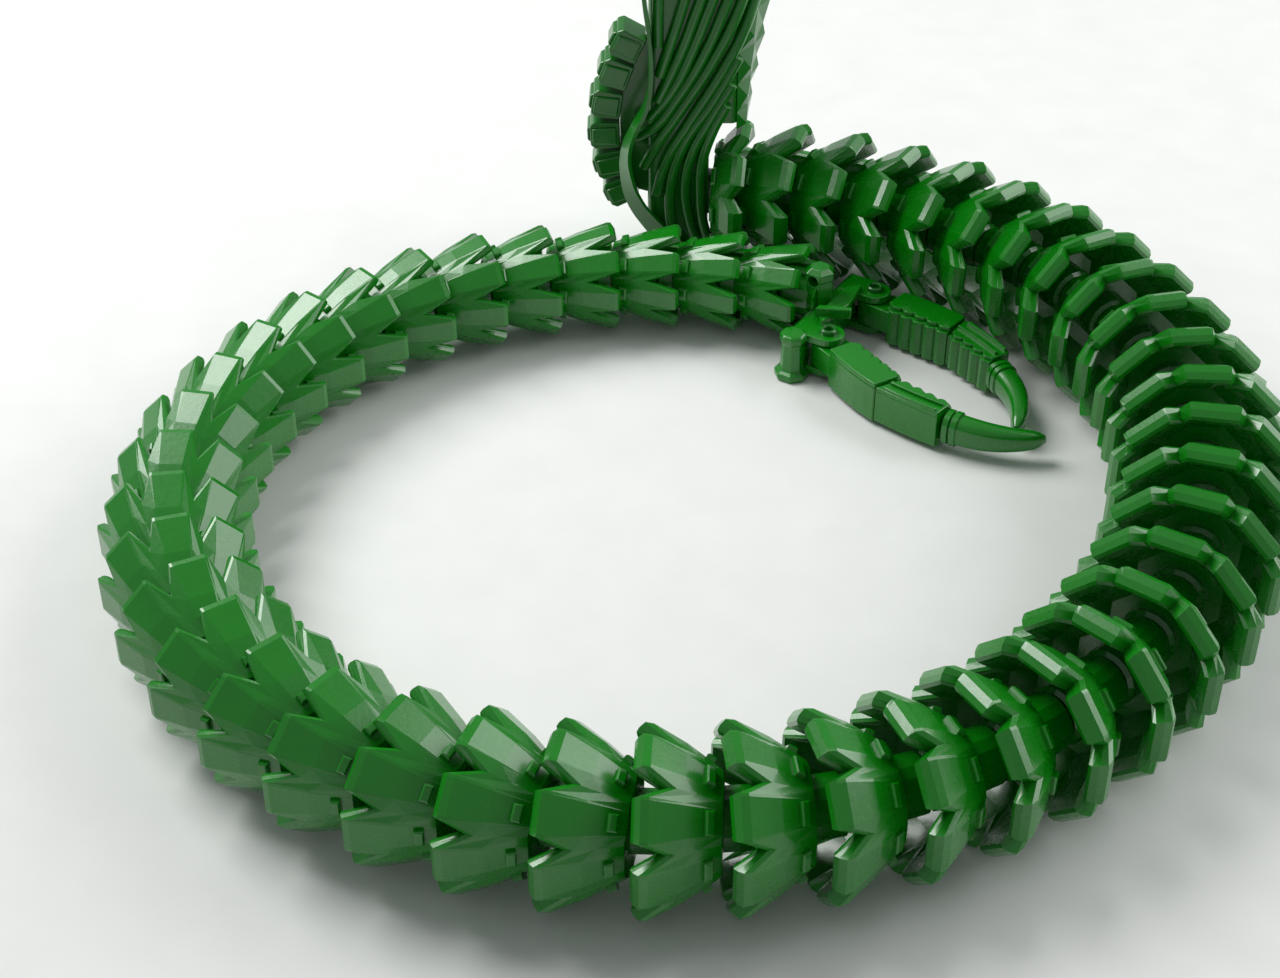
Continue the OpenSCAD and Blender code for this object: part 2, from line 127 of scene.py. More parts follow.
def gloss_abs(name, light, dark, rough):
    # injection-moulded ABS: deep even colour, a polished skin with faint flow waves
    material, tree, bsdf = fresh_material(name)
    where = node(tree, "ShaderNodeTexCoord").outputs["Object"]
    flow = node(tree, "ShaderNodeTexNoise", {"Vector": where}, Scale=70.0, Detail=3.0)
    tint = node(tree, "ShaderNodeMix", {0: flow.outputs["Fac"]}, data_type="RGBA")
    tint.inputs[6].default_value = srgb(dark)
    tint.inputs[7].default_value = srgb(light)
    tree.links.new(tint.outputs[2], bsdf.inputs["Base Color"])
    skin = node(tree, "ShaderNodeTexNoise", {"Vector": where}, Scale=900.0, Detail=5.0)
    haze = node(tree, "ShaderNodeMapRange", {"Value": skin.outputs["Fac"]},
                To_Min=rough - 0.05, To_Max=rough + 0.07)
    tree.links.new(haze.outputs["Result"], bsdf.inputs["Roughness"])
    wave = node(tree, "ShaderNodeBump", {"Height": skin.outputs["Fac"]}, Strength=0.12, Distance=0.0002)
    tree.links.new(wave.outputs["Normal"], bsdf.inputs["Normal"])
    bsdf.inputs["IOR"].default_value = 1.54
    bsdf.inputs["Coat Weight"].default_value = 0.35
    bsdf.inputs["Coat Roughness"].default_value = 0.12
    return material


shell_abs = gloss_abs("gloss_moulded_abs", "#028006", "#016a03", 0.27)

joints = {j["name"]: j for j in frame["record"]["behaviour"]["joints"]}
last = 45


def swivel(k):
    # place of the swivel at the claw side of ring k: X along its axis, Z up
    j = joints["wrist_swivel" if k == last else "swivel_%02d" % (k + 1)]
    ax, ay, _ = j["axis"]
    return Matrix.Translation(Vector(j["pos_m"])) @ Matrix.Rotation(atan2(ay, ax), 4, "Z")


def eased(k, stations):
    if k <= stations[0][0]:
        return stations[0][1]
    for (a, va), (b, vb) in zip(stations, stations[1:]):
        if k <= b:
            return va + (vb - va) * (k - a) / (b - a)
    return stations[-1][1]


petals = 8
sector = tan(pi / petals)
overhang = 6
floor_gap = 0.55
first_root_r, last_root_r = 10.5, 7.6
petal_foot_r = 5


def cup_sizes(k):
    # millimetres: rim radius, root radius, depth, rim thickness, tip share, valley share
    return dict(
        rim=swivel(k).translation.z * 1000 - floor_gap,
        root=first_root_r + (last_root_r - first_root_r) * k / last,
        depth=eased(k, [(0, 8), (1, 15), (7, 15), (11, 10.5), (16, 10.5), (21, 15.5), (31, 17),
                        (40, 18)]),
        lip=eased(k, [(0, 3), (7, 3.2), (11, 3.8), (17, 3.8), (22, 3), (30, 2), (45, 1.8)]),
        tip=eased(k, [(0, 0.5), (8, 0.54), (12, 0.66), (17, 0.66), (22, 0.58), (30, 0.56), (45, 0.48)]),
        valley=eased(k, [(0, 0.66), (7, 0.68), (12, 0.76), (16, 0.76), (21, 0.68), (30, 0.66), (45, 0.58)]))


def petal_mesh(k):
    # one sector of the cup, X from root to rim, with half of each valley at its sides, and its lug
    s = cup_sizes(k)
    slope = atan2(s["rim"] - s["root"], s["depth"])
    length = hypot(s["rim"] - s["root"], s["depth"])
    wall, crown, bevel = 2.0, 0.95, min(1.5, s["lip"] * 0.45)
    columns = [-1, -s["tip"], -s["tip"] * 0.86, s["tip"] * 0.86, s["tip"], 1]

    def at(u, h, c):
        x = overhang - s["depth"] + u * cos(slope) - h * sin(slope)
        r = s["root"] + u * sin(slope) + h * cos(slope)
        return (x * mm, c * r * sector * mm, r * mm)

    def edge(c):
        share = max(0, (abs(c) - s["tip"]) / (1 - s["tip"]))
        return length * (1 - share * (1 - s["valley"]))

    def swell(c):
        return crown * (1 - max(0, (abs(c) - s["tip"] * 0.86) / (1 - s["tip"] * 0.86)))

    rows = []
    for c in columns:
        e, w = edge(c), swell(c)
        rows.append([
            at(0, -0.9, c), at(0.9, w * 0.3, c), at(e * 0.5, w, c), at(e - bevel * 1.5, w * 0.85, c),
            at(e - bevel * 0.35, w * 0.85 - bevel * 0.45, c), at(e, -bevel, c),
            at(e, 0.6 - s["lip"], c), at(e - 0.6, -s["lip"], c),
            at(e - s["lip"] * 0.9, -s["lip"] * 0.95, c), at(e * 0.45, -wall, c), at(1.6, -wall, c)])
    verts, faces = [], []
    n = len(rows[0])
    for row in rows:
        verts += row
    for i in range(len(columns) - 1):
        for j in range(n - 1):
            a, b = i * n + j, i * n + j + 1
            faces.append((a, b, b + n, a + n))
    # root plate down to the barrel
    base = len(verts)
    x_back = rows[0][0][0]
    x_front = rows[0][-1][0]
    for c in columns:
        foot_y, foot_z = c * petal_foot_r * sector * mm, petal_foot_r * mm
        verts += [(x_back, foot_y, foot_z), (x_front, foot_y, foot_z)]
    for i in range(len(columns) - 1):
        p, q = base + 2 * i, base + 2 * i + 2
        faces.append((p, i * n, (i + 1) * n, q))
        faces.append((i * n + n - 1, p + 1, q + 1, (i + 1) * n + n - 1))
    # lug on the petal's middle line
    lug_start, lug_end = 0.17 * length, 0.17 * length + 1.9
    lug_half = 2.3 if k < 24 else 1.7
    low, high = -0.4, crown * 0.6 + 1.0
    lug = len(verts)
    for h, grow in ((low, 0.0), (high - 0.3, 0.0), (high, -0.3)):
        for u, side in ((lug_start - grow, -1), (lug_end + grow, -1), (lug_end + grow, 1),
                        (lug_start - grow, 1)):
            x, _, z = at(u, h, 0)
            verts.append((x, side * (lug_half + grow) * mm, z))
    for level in (0, 4):
        for i in range(4):
            a, b = lug + level + i, lug + level + (i + 1) % 4
            faces.append((a, b, b + 4, a + 4))
    faces.append((lug + 8, lug + 9, lug + 10, lug + 11))
    faces.append((lug + 3, lug + 2, lug + 1, lug))
    mesh = bpy.data.meshes.new("petal")
    mesh.from_pydata(verts, [], faces)
    return mesh


def open_tree(name, **kinds):
    # a Geometry Nodes tree that takes geometry, the named inputs and a finish
    g = bpy.data.node_groups.new(name, "GeometryNodeTree")
    for key, kind in {"Geometry": "Geometry", **kinds, "Finish": "Material"}.items():
        g.interface.new_socket(key.replace("_", " "), in_out="INPUT", socket_type="NodeSocket" + kind)
    g.interface.new_socket("Geometry", in_out="OUTPUT", socket_type="NodeSocketGeometry")
    return g, node(g, "NodeGroupInput").outputs


def close_tree(g, shape, given):
    # gives the shape its finish and sends it out
    finish = node(g, "GeometryNodeSetMaterial", {"Geometry": shape, "Material": given["Finish"]})
    node(g, "NodeGroupOutput", {"Geometry": finish.outputs[0]})
    return g


def round_axis_tree():
    # copies a part evenly round the X axis and welds the copies
    g, given = open_tree("round_axis", Copies="Int", Weld_distance="Float")
    part = node(g, "GeometryNodeGeometryToInstance", {"Geometry": given["Geometry"]})
    copies = node(g, "GeometryNodeDuplicateElements",
                  {"Geometry": part.outputs[0], "Amount": given["Copies"]}, domain="INSTANCE")
    step = node(g, "ShaderNodeMath", {1: given["Copies"]}, operation="DIVIDE")
    step.inputs[0].default_value = 2 * pi
    angle = node(g, "ShaderNodeMath", {0: step.outputs[0], 1: copies.outputs["Duplicate Index"]},
                 operation="MULTIPLY")
    turn = node(g, "ShaderNodeCombineXYZ", {"X": angle.outputs[0]})
    turned = node(g, "GeometryNodeRotateInstances",
                  {"Instances": copies.outputs[0], "Rotation": turn.outputs[0]}, Local_Space=False)
    real = node(g, "GeometryNodeRealizeInstances", {0: turned.outputs[0]})
    weld = node(g, "GeometryNodeMergeByDistance",
                {"Geometry": real.outputs[0], "Distance": given["Weld distance"]})
    return close_tree(g, weld.outputs[0], given)


def grown(mesh, tree, **inputs):
    # runs a Geometry Nodes tree on a mesh or curve and returns the plain mesh it makes
    carrier = bpy.data.objects.new("carrier", mesh)
    bpy.context.collection.objects.link(carrier)
    nodes_modifier = carrier.modifiers.new("nodes", "NODES")
    nodes_modifier.node_group = tree
    for item in tree.interface.items_tree:
        key = item.name.replace(" ", "_")
        if item.in_out == "INPUT" and key in inputs:
            nodes_modifier[item.identifier] = inputs[key]
    seen = carrier.evaluated_get(bpy.context.evaluated_depsgraph_get())
    result = bpy.data.meshes.new_from_object(seen)
    bpy.data.objects.remove(carrier)
    return result


def add_lofted(bm, rings):
    # closed skin through rings with the same number of points
    made = [[bm.verts.new(p) for p in ring] for ring in rings]
    n = len(made[0])
    for a, b in zip(made, made[1:]):
        for i in range(n):
            bm.faces.new((a[i], a[(i + 1) % n], b[(i + 1) % n], b[i]))
    bm.faces.new(made[0][::-1])
    bm.faces.new(made[-1])


def piece(name, bm, material, body, replaced=(), smooth=False, bevel=0.0):
    # finishes a mesh as one named piece that rides on a body
    bmesh.ops.remove_doubles(bm, verts=bm.verts, dist=1e-6)
    bmesh.ops.recalc_face_normals(bm, faces=bm.faces)
    mesh = bpy.data.meshes.new(name)
    bm.to_mesh(mesh)
    bm.free()
    mesh.materials.clear()
    mesh.materials.append(material)
    thing = bpy.data.objects.new(name, mesh)
    bpy.context.collection.objects.link(thing)
    if bevel:
        cut = thing.modifiers.new("edges", "BEVEL")
        cut.width = bevel * mm
        cut.segments = 2
        cut.limit_method = "ANGLE"
        cut.angle_limit = radians(28)
        seen = thing.evaluated_get(bpy.context.evaluated_depsgraph_get())
        done = bpy.data.meshes.new_from_object(seen)
        thing.modifiers.clear()
        thing.data = done
    for f in thing.data.polygons:
        f.use_smooth = smooth
    if smooth:
        thing.data.set_sharp_from_angle(angle=radians(32))
    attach(thing, body)
    if replaced:
        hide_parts(*replaced)
    return thing


barrel_sides = 16
barrel_r, spigot_r, socket_r, spigot_len = 6.6, 3.4, 3.55, 6.0


def barrel_ring(place, x, r, octagon):
    # points round the barrel: an octagon with flats, or a circle
    ring = []
    for i in range(barrel_sides):
        a = 2 * pi * (i + 0.5) / barrel_sides
        off = (a + pi / 8) % (pi / 4) - pi / 8
        rr = r * cos(pi / 8) / cos(off) if octagon else r
        ring.append(place @ Vector((x * mm, rr * sin(a) * mm, rr * cos(a) * mm)))
    return ring


ring_tree = round_axis_tree()


def add_cup(bm, k):
    cup = grown(petal_mesh(k), ring_tree, Copies=petals, Weld_distance=2e-6, Finish=shell_abs)
    cup.transform(swivel(k))
    bm.from_mesh(cup)


for k in range(1, last + 1):
    here, before = swivel(k), swivel(k - 1)
    half = (here.translation - before.translation).length * 500
    bm = bmesh.new()
    add_cup(bm, k)
    add_lofted(bm, [
        barrel_ring(before, spigot_len + 0.4, 0.2, False),
        barrel_ring(before, spigot_len + 0.4, socket_r, False),
        barrel_ring(before, 0.2, socket_r, False),
        barrel_ring(before, 0.2, barrel_r - 0.9, True),
        barrel_ring(before, 1.0, barrel_r, True),
        barrel_ring(before, half - 0.4, barrel_r, True),
        barrel_ring(here, 0.4 - half, barrel_r, True),
        barrel_ring(here, -1.0, barrel_r, True),
        barrel_ring(here, -0.2, barrel_r - 0.9, True),
        barrel_ring(here, -0.2, spigot_r, False),
        barrel_ring(here, spigot_len - 0.6, spigot_r, False),
        barrel_ring(here, spigot_len, spigot_r - 0.6, False)])
    name = "link_%02d" % k
    piece(name + "_cup", bm, shell_abs, name, (name,))

# Neck column. The neck's core is one gloss ABS moulding with a flange on top for a stand. The
# first petal cup is a separate ABS moulding, pressed round the core's spigot barrel.
neck_abs = gloss_abs("gloss_neck_abs", "#0a7410", "#045c08", 0.3)
socket = Vector(next(m["pos_m"] for m in frame["record"]["mounts"] if m["name"] == "post_socket"))
neck_foot = Vector((socket.x, socket.y, 0))
core_deep = 7


def in_neck(x, y, z):
    return neck_foot + Vector((x, y, z)) * mm


frame["nodes"]["neck_core"].data.materials.clear()
frame["nodes"]["neck_core"].data.materials.append(neck_abs)

bm = bmesh.new()
add_cup(bm, 0)
piece("neck_cuff_cup", bm, shell_abs, "neck", ("neck_cuff",))

# Cable strands. Ten round ABS ribs with cut ends sweep from the neck's upper right over its
# front and turn down into the first cup, bonded to the column where they touch it.
strand_r = 1.5
strand_lines = [
    [(-9.5, 94), (-9.5, 86), (-9.5, 76), (-9.5, 66.3)],
    [(1.2, 94), (-3.4, 76.7), (-6.1, 67.4), (-9, 57.9)],
    [(6.5, 94), (0.7, 76.7), (-3.2, 65.3), (-7.1, 56), (-9.5, 50.6)],
    [(9.5, 94), (3.7, 76.7), (-0.2, 65.8), (-5.6, 53.8), (-11.7, 45.2)],
    [(13.5, 94), (7.6, 76.7), (2.7, 64.2), (-4.6, 51.1), (-10.5, 43), (-15.2, 39.4)],
    [(16.5, 93), (11, 75.6), (5.1, 62.5), (-3.2, 48.4), (-9, 39.2), (-13.2, 30.8)],
    [(16, 80), (12.9, 70.7), (7.1, 58.7), (-1.2, 44.1), (-7.1, 33.2), (-9.8, 23.1)],
    [(11.7, 63.1), (5.1, 50.6), (-2.2, 38.6), (-5.6, 27.8), (-5.9, 16.3), (-4.5, 10)],
    [(10.2, 55.8), (4.6, 45.7), (-0.2, 35.4), (-1.9, 26.1), (-0.8, 16), (1.2, 9)],
    [(8.8, 49.8), (5.1, 41.9), (2.4, 32.1), (2.2, 24), (2.8, 16), (4.2, 10)]]


def on_front(x, z):
    # the strands lie on the column's front and wrap back round its edges
    return in_neck(x, -core_deep - 0.9 + 0.05 * max(0, abs(x) - 8) ** 2, z)


def curve_of(name, lines, tilt=None):
    # one smooth spline for each line of points
    data = bpy.data.curves.new(name, "CURVE")
    data.dimensions = "3D"
    for line in lines:
        spline = data.splines.new("BEZIER")
        spline.bezier_points.add(len(line) - 1)
        for i, (point, place) in enumerate(zip(spline.bezier_points, line)):
            point.co = place
            point.handle_left_type = point.handle_right_type = "AUTO"
            if tilt:
                point.tilt = tilt[i]
        spline.resolution_u = 10
    return data


def swept_tree(name, build_profile):
    # sweeps a profile along curves, with closed ends
    g, given = open_tree(name, Width="Float", Depth="Float")
    profile = build_profile(g, given)
    swept = node(g, "GeometryNodeCurveToMesh",
                 {"Curve": given["Geometry"], "Profile Curve": profile.outputs["Curve"]}, Fill_Caps=True)
    real = node(g, "GeometryNodeRealizeInstances", {0: swept.outputs[0]})
    return close_tree(g, real.outputs[0], given)


def round_profile(g, given):
    return node(g, "GeometryNodeCurvePrimitiveCircle", {"Radius": given["Width"]}, Resolution=16)


def flat_profile(g, given):
    return node(g, "GeometryNodeCurvePrimitiveQuadrilateral",
                {"Width": given["Width"], "Height": given["Depth"]})


cable_tree = swept_tree("cable", round_profile)
ribbon_tree = swept_tree("ribbon", flat_profile)


def grown_into(bm, data, tree, **inputs):
    part = grown(data, tree, **inputs)
    bm.from_mesh(part)


bm = bmesh.new()
grown_into(bm, curve_of("strands", [[on_front(x, z) for x, z in line] for line in strand_lines]),
           cable_tree, Width=strand_r * mm, Finish=neck_abs)
piece("neck_cable_strands", bm, neck_abs, "neck", ("neck_strands",),
      smooth=True, bevel=0.25)

# Back ribs. Three slender round ribs of the same ABS, moulded on the column's plain back. They
# start under the flange and lean over to the fin's side as they go down.
bm = bmesh.new()
back_lines = [[in_neck(x, core_deep - 0.2, 92), in_neck(x - 3, core_deep, 70),
               in_neck(x - 8, core_deep, 50)] for x in (-2, 3, 8)]
grown_into(bm, curve_of("back_ribs", back_lines), cable_tree, Width=1.2 * mm, Finish=neck_abs)
piece("neck_back_ribs", bm, neck_abs, "neck", (), smooth=True)

# Edge fin. A thin strip of the neck's ABS runs on edge down the column's left side, twists
# over lower down and ends in the coil, fixed along its inner edge.
fin_line = [(-14.5, 94), (-13, 79), (-11.6, 68), (-11.2, 59), (-12.6, 50), (-15.6, 43.5), (-17.8, 37),
            (-17.6, 29), (-15.6, 22), (-11.8, 16), (-6.5, 10), (-1, 5.5)]
fin_twist = [1.57, 1.57, 1.57, 1.57, 1.5, 1.4, 1.2, 0.9, 0.6, 0.4, 0.2, 0.2]
bm = bmesh.new()
grown_into(bm, curve_of("fin", [[in_neck(x, -core_deep - 2.2, z) for x, z in fin_line]], fin_twist),
           ribbon_tree, Width=1.0 * mm, Depth=5.0 * mm, Finish=neck_abs)
piece("neck_edge_fin", bm, neck_abs, "neck", ("neck_fin",), smooth=True)

# Spine blocks. Six separate bevelled ABS blocks sit one above the other on the column's back
# left edge, each turned a little from the last, with a raised square face.
spine_places = [(-19.4, 20.8, 24), (-22.2, 29, 14), (-23.6, 37.8, 2), (-23, 46.8, -9), (-20.6, 55.5, -20),
                (-17.6, 63.5, -26)]


def prism(bm, outline, low, high, place=None, axis="Z"):
    # upright body of an outline given in millimetres
    def put(x, y, h):
        p = Vector((x, y, h)) if axis == "Z" else Vector((x, h, y))
        return place(p * mm) if place else p * mm
    add_lofted(bm, [[put(x, y, low) for x, y in outline], [put(x, y, high) for x, y in outline]])


block = bmesh.new()
prism(block, [(-4, -2.8), (-2.8, -4), (4, -3.6), (4, 3.6), (-2.8, 4), (-4, 2.8)], -5, 5, axis="Y")
prism(block, [(-3.4, -2.2), (3.2, -2.6), (3.2, 2.6), (-3.4, 2.2)], -5.7, -4.9, axis="Y")
prism(block, [(-4.8, -1.6), (-3.9, -2.4), (-3.9, 2.4), (-4.8, 1.6)], -4, 4, axis="Y")
block_mesh = bpy.data.meshes.new("spine_block")
bmesh.ops.recalc_face_normals(block, faces=block.faces)
block.to_mesh(block_mesh)
block.free()
block_source = bpy.data.objects.new("spine_block_source", block_mesh)
bpy.context.collection.objects.link(block_source)


def set_out_tree():
    # sets a part at each point, turned about Y by the point's tilt
    g, given = open_tree("set_out", Part="Object")
    tilt = node(g, "GeometryNodeInputNamedAttribute", data_type="FLOAT")
    tilt.inputs["Name"].default_value = "tilt"
    turn = node(g, "ShaderNodeCombineXYZ", {"Y": tilt.outputs["Attribute"]})
    part = node(g, "GeometryNodeObjectInfo", {"Object": given["Part"]})
    points = node(g, "GeometryNodeMeshToPoints", {"Mesh": given["Geometry"]})
    placed = node(g, "GeometryNodeInstanceOnPoints",
                  {"Points": points.outputs[0], "Instance": part.outputs["Geometry"],
                   "Rotation": turn.outputs[0]})
    real = node(g, "GeometryNodeRealizeInstances", {0: placed.outputs[0]})
    return close_tree(g, real.outputs[0], given)


points = bpy.data.meshes.new("spine_points")
points.from_pydata([in_neck(x, 3, z) for x, z, _ in spine_places], [], [])
tilts = points.attributes.new("tilt", "FLOAT", "POINT")
for value, (_, _, tilt) in zip(tilts.data, spine_places):
    value.value = radians(-tilt)
bm = bmesh.new()
grown_into(bm, points, set_out_tree(), Part=block_source, Finish=neck_abs)
bpy.data.objects.remove(block_source)
piece("neck_spine_blocks", bm, neck_abs, "neck", ("neck_spine",), bevel=0.4)

# Web. A thin faceted ABS membrane stands along the column's right edge, moulded in folds with
# a scalloped rim, and is bonded to the column along its root.
web_rim = [(15.2, 44), (16, 49), (15.4, 52), (17.4, 57), (16.8, 60), (18.8, 66), (18.2, 69), (20, 76),
           (19.4, 79), (21, 86), (20.4, 89), (21.4, 94)]
bm = bmesh.new()
rim, fold, root = [], [], []
for i, (x, z) in enumerate(web_rim):
    rim.append(bm.verts.new(in_neck(x, 1.5, z)))
    fold.append(bm.verts.new(in_neck(13.4 + (x - 13) * 0.45, -2.4 if i % 2 else -4.4, z - 1.2)))
    root.append(bm.verts.new(in_neck(11.6, -6.6, z - 2)))
back = [bm.verts.new(in_neck(11.6, 2.6, z)) for x, z in web_rim]
for i in range(len(web_rim) - 1):
    for a, b in ((root, fold), (fold, rim), (rim, back)):
        if i % 2:
            bm.faces.new((a[i], b[i], b[i + 1]))
            bm.faces.new((a[i], b[i + 1], a[i + 1]))
        else:
            bm.faces.new((a[i], b[i], a[i + 1]))
            bm.faces.new((b[i], b[i + 1], a[i + 1]))
    bm.faces.new((back[i], root[i], root[i + 1], back[i + 1]))
for i in (0, -1):
    bm.faces.new((root[i], fold[i], rim[i], back[i]))
piece("neck_edge_web", bm, neck_abs, "neck", ("neck_web",))

# Claw wrist. One gloss ABS moulding: a barrel that snaps on the last link's spigot, and a
# six-sided boss on top of it with a round cross hole.
near_pin = Vector(joints["near_jaw_hinge"]["pos_m"])
far_pin = Vector(joints["far_jaw_hinge"]["pos_m"])
across = (far_pin - near_pin).normalized()
heading = atan2(-across.x, across.y)
palm_reach, pin_half = 20.5, (far_pin - near_pin).length * 500
pin_line = (near_pin + far_pin) / 2
wrist = pin_line - Vector((cos(heading), sin(heading), 0)) * palm_reach * mm
wrist.z = 0
claw_place = Matrix.Translation(wrist) @ Matrix.Rotation(heading, 4, "Z")
wrist_z = swivel(last).translation.z * 1000
palm_back, palm_front = palm_reach - 9, palm_reach - 5
jaw_z, jaw_h = 1.2, 11.0


def cut_hole(thing_bm, start, end, r, sides=24):
    # drills a round hole from start to end
    body = bpy.data.meshes.new("body")
    bmesh.ops.recalc_face_normals(thing_bm, faces=thing_bm.faces)
    thing_bm.to_mesh(body)
    drill = bmesh.new()
    along = (end - start).normalized()
    side = along.orthogonal().normalized()
    up = along.cross(side)
    turns = [2 * pi * i / sides for i in range(sides)]
    add_lofted(drill, [[p + (side * cos(a) + up * sin(a)) * r for a in turns] for p in (start, end)])
    bmesh.ops.recalc_face_normals(drill, faces=drill.faces)
    drill_mesh = bpy.data.meshes.new("drill")
    drill.to_mesh(drill_mesh)
    drill.free()
    drilled = bpy.data.objects.new("drilled", body)
    cutter = bpy.data.objects.new("drill", drill_mesh)
    for thing in (drilled, cutter):
        bpy.context.collection.objects.link(thing)
    cut = drilled.modifiers.new("hole", "BOOLEAN")
    cut.operation = "DIFFERENCE"
    cut.object = cutter
    cut.solver = "EXACT"
    seen = drilled.evaluated_get(bpy.context.evaluated_depsgraph_get())
    done = bpy.data.meshes.new_from_object(seen)
    bpy.data.objects.remove(drilled)
    bpy.data.objects.remove(cutter)
    thing_bm.clear()
    thing_bm.from_mesh(done)


def in_claw(p):
    return claw_place @ p


boss_x, boss_r = 10.4, 3.8
bm = bmesh.new()
hexagon = [(cos(pi / 3 * i), sin(pi / 3 * i)) for i in range(6)]
add_lofted(bm, [[in_claw(Vector((boss_x + c * r, s * r, z)) * mm) for c, s in hexagon]
                for r, z in ((boss_r, wrist_z - 1), (boss_r, wrist_z + 6.2), (boss_r + 0.3, wrist_z + 7),
                             (boss_r + 0.3, wrist_z + 8.6), (boss_r - 1.2, wrist_z + 9.9))])
cross_ends = [in_claw(Vector((boss_x, y, wrist_z + 6.8)) * mm) for y in (-9, 9)]
cut_hole(bm, *cross_ends, 1.5 * mm)
tail_end = swivel(last)
add_lofted(bm, [
    barrel_ring(tail_end, spigot_len + 0.4, 0.2, False),
    barrel_ring(tail_end, spigot_len + 0.4, socket_r, False),
    barrel_ring(tail_end, 0.2, socket_r, False),
    barrel_ring(tail_end, 0.2, barrel_r - 0.9, True),
    barrel_ring(tail_end, 1.0, barrel_r, True),
    barrel_ring(tail_end, palm_back - 3.4, barrel_r, True),
    barrel_ring(claw_place @ Matrix.Translation((0, 0, wrist_z * mm)), palm_back, barrel_r, True)])
piece("claw_wrist_boss", bm, shell_abs, "claw", ("claw_wrist",), bevel=0.35)

# Claw palm. An ABS box moulding with two forked ears for the jaw pins, a raised top plate with
# a little upright fin, and a foot post at its near end that the claw rests on.
ear_r, ear_t = 4.2, 2.0


def ear_outline(side):
    y = side * pin_half
    arc = [(palm_reach + ear_r * cos(a), y + ear_r * sin(a))
           for a in [radians(t) for t in range(-90, 91, 15)]]
    return [(palm_back, y - ear_r)] + arc + [(palm_back, y + ear_r)]


bm = bmesh.new()
prism(bm, [(palm_back, -pin_half - ear_r), (palm_front, -pin_half - ear_r), (palm_front, pin_half + ear_r),
           (palm_back, pin_half + ear_r)], jaw_z, jaw_z + jaw_h, in_claw)
for side in (-1, 1):
    prism(bm, ear_outline(side), jaw_z, jaw_z + ear_t, in_claw)
    prism(bm, ear_outline(side), jaw_z + jaw_h - ear_t, jaw_z + jaw_h, in_claw)
plate_x = boss_x + boss_r + 0.3
plate_top = jaw_z + jaw_h + 1.6
prism(bm, [(plate_x, -8), (palm_front + 2, -11), (palm_front + 4, 0), (palm_front + 2, 11), (plate_x, 8)],
      jaw_z + jaw_h - 0.2, plate_top, in_claw)
prism(bm, [(plate_x + 0.2, -9.6), (plate_x + 8.4, -5.6), (plate_x + 8, -4.2), (plate_x + 0.2, -7.4)],
      plate_top - 0.6, plate_top + 2.2, in_claw)
post_y = -pin_half - ear_r - 1.6
octagon = [(cos(pi / 4 * (i + 0.5)), sin(pi / 4 * (i + 0.5))) for i in range(8)]
add_lofted(bm, [[in_claw(Vector((palm_back + 2 + c * r, post_y + s * r, z)) * mm) for c, s in octagon]
                for r, z in ((4.2, 0), (4.6, 0.4), (4.6, 1.9), (3.2, 2.6), (3.0, 10), (3.6, 11), (3.6, 12.4),
                             (2.9, 13))])
piece("claw_palm_shell", bm, shell_abs, "claw", ("claw_palm",), bevel=0.35)

# Jaw pins. Two hollow ABS pins with bevelled shoulders, pressed in flush with the lower ears.
# They stand proud of the top ears, where their open ends show.
pin_abs = gloss_abs("gloss_pin_abs", "#0a6f12", "#065a0a", 0.28)
pin_profile = [(0.2, 2), (1.2, 2), (1.2, 12.0), (1.5, 12.4), (1.8, 12.4), (2.1, 12.1), (2.1, 0.3),
               (1.8, 0), (0.2, 0)]
pin_turns = [2 * pi * i / 24 for i in range(24)]
bm = bmesh.new()
for pin in (near_pin, far_pin):
    base = Vector((pin.x, pin.y, jaw_z * mm))
    add_lofted(bm, [[base + Vector((r * cos(a), r * sin(a), z)) * mm for a in pin_turns]
                    for r, z in pin_profile])
piece("claw_hollow_pins", bm, pin_abs, "claw", ("claw_pins",), smooth=True)

# Jaws. Each jaw is three gloss ABS mouldings: a root shell and a middle shell with two rails
# on top and teeth along the inner edge, then a smooth horn with two collar bands at its root
# that curves inwards. The root's knuckle turns on its pin between the ears.
root_len, mid_len, jaw_w = 25.5, 17.0, 8.4
jaw_bend, collar_bend, horn_turn, horn_len = radians(18), radians(10), radians(44), 21.0
swings = {"near": radians(-26), "far": radians(-7.5)}
knuckle_r = 4.2


def bowed(points, bulge, x0, x1):
    # bows a straight wall outwards between x0 and x1
    out = []
    for x, y in points:
        t = min(1, max(0, (x - x0) / (x1 - x0)))
        out.append((x, y - bulge * 4 * t * (1 - t)))
    return out


